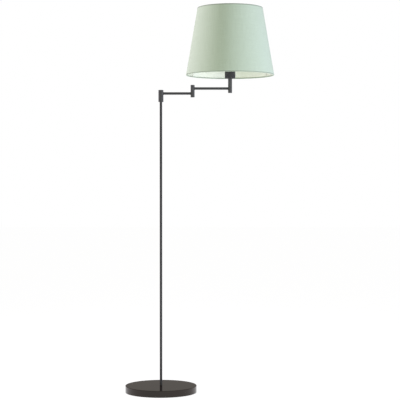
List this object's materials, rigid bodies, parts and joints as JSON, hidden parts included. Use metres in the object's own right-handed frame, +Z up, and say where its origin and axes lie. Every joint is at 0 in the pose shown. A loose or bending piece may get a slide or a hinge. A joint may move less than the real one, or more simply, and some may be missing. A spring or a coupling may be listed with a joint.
{
  "type": "swing-arm floor lamp",
  "caption": "Floor lamp with a round weighted foot, a slim pole, two level arms that swivel one above the other, and a tapered fabric shade over a screw lampholder.",
  "frame": {"origin": "on the floor, on the pole's axis, at the centre of the felt pad's underside", "axes": "+Z up along the pole; +X along both arms at rest, towards the shade; +Y towards the side of the foot where the mains cord goes in"},
  "size_m": [0.5945, 0.352, 1.535],
  "materials": {
    "graphite_steel": "fine-textured graphite powder coat",
    "foot_enamel": "glossy brown-black stove enamel",
    "cast_iron": "as cast, oiled",
    "zinc_steel": "zinc plated",
    "spring_steel": "blued",
    "nylon": "black nylon sheet",
    "felt": "pressed wool felt",
    "inlet_plastic": "moulded nylon, matt",
    "terminal_plastic": "moulded polyamide",
    "holder_plastic": "moulded black thermoplastic, satin",
    "steatite": "glazed steatite ceramic",
    "brass": "plain rolled",
    "shade_fabric": "mint green woven polycotton",
    "shade_liner": "white styrene laminate",
    "white_wire": "white epoxy coat",
    "bulb_cap": "bright rolled",
    "bulb_body": "white thermoplastic",
    "bulb_opal": "opal polycarbonate",
    "lead_sheath": "soft PVC"
  },
  "bodies": {
    "stand": {"floor_pad": "felt", "foot_cover": "foot_enamel", "foot_weight": "cast_iron", "foot_pipe": "zinc_steel", "foot_washer": "zinc_steel", "foot_nut": "zinc_steel", "terminal_block": "terminal_plastic", "earth_screw": "zinc_steel", "cord_inlet": "inlet_plastic", "pole_bottom_tube": "graphite_steel", "pole_middle_tube": "graphite_steel", "pole_top_tube": "graphite_steel", "pole_lower_joiner": "zinc_steel", "pole_upper_joiner": "zinc_steel", "pole_collar": "graphite_steel", "collar_screw": "zinc_steel", "pole_spindle": "zinc_steel", "pole_washer": "nylon", "pole_stop_pin": "zinc_steel", "pole_spring_washer": "spring_steel", "pole_spindle_nut": "zinc_steel", "pole_lead": "lead_sheath"},
    "lower_arm": {"pole_hub": "graphite_steel", "pole_hub_cap": "graphite_steel", "lower_arm_tube": "graphite_steel", "elbow_lower_hub": "graphite_steel", "elbow_bottom_cap": "graphite_steel", "elbow_spindle": "zinc_steel", "elbow_washer": "nylon", "elbow_stop_pin": "zinc_steel", "elbow_spring_washer": "spring_steel", "elbow_spindle_nut": "zinc_steel", "lower_arm_lead": "lead_sheath"},
    "upper_arm": {"elbow_upper_hub": "graphite_steel", "elbow_top_cap": "graphite_steel", "upper_arm_tube": "graphite_steel", "lamp_post": "graphite_steel", "post_sleeve": "graphite_steel", "post_cap": "graphite_steel", "post_pipe": "zinc_steel", "holder_cup": "holder_plastic", "holder_skirt": "holder_plastic", "contact_block": "steatite", "centre_contact": "brass", "thread_shell": "brass", "shade_ring_lower": "holder_plastic", "shade_ring_upper": "holder_plastic", "shade_carrier": "white_wire", "shade_bottom_wire": "white_wire", "shade_top_wire": "white_wire", "shade_fabric": "shade_fabric", "shade_liner": "shade_liner", "shade_bottom_hem": "shade_fabric", "shade_top_hem": "shade_fabric", "bulb_cap": "bulb_cap", "bulb_body": "bulb_body", "bulb_dome": "bulb_opal", "upper_arm_lead": "lead_sheath"}
  },
  "joints": [
    {"name": "pole_swivel", "type": "hinge", "parent": "stand", "child": "lower_arm", "pos_m": [0, 0, 1.1813], "axis": [0, 0, 1], "range_deg": [-165, 165]},
    {"name": "elbow_swivel", "type": "hinge", "parent": "lower_arm", "child": "upper_arm", "pos_m": [0.1265, 0, 1.203], "axis": [0, 0, 1], "range_deg": [-165, 165]}
  ]
}
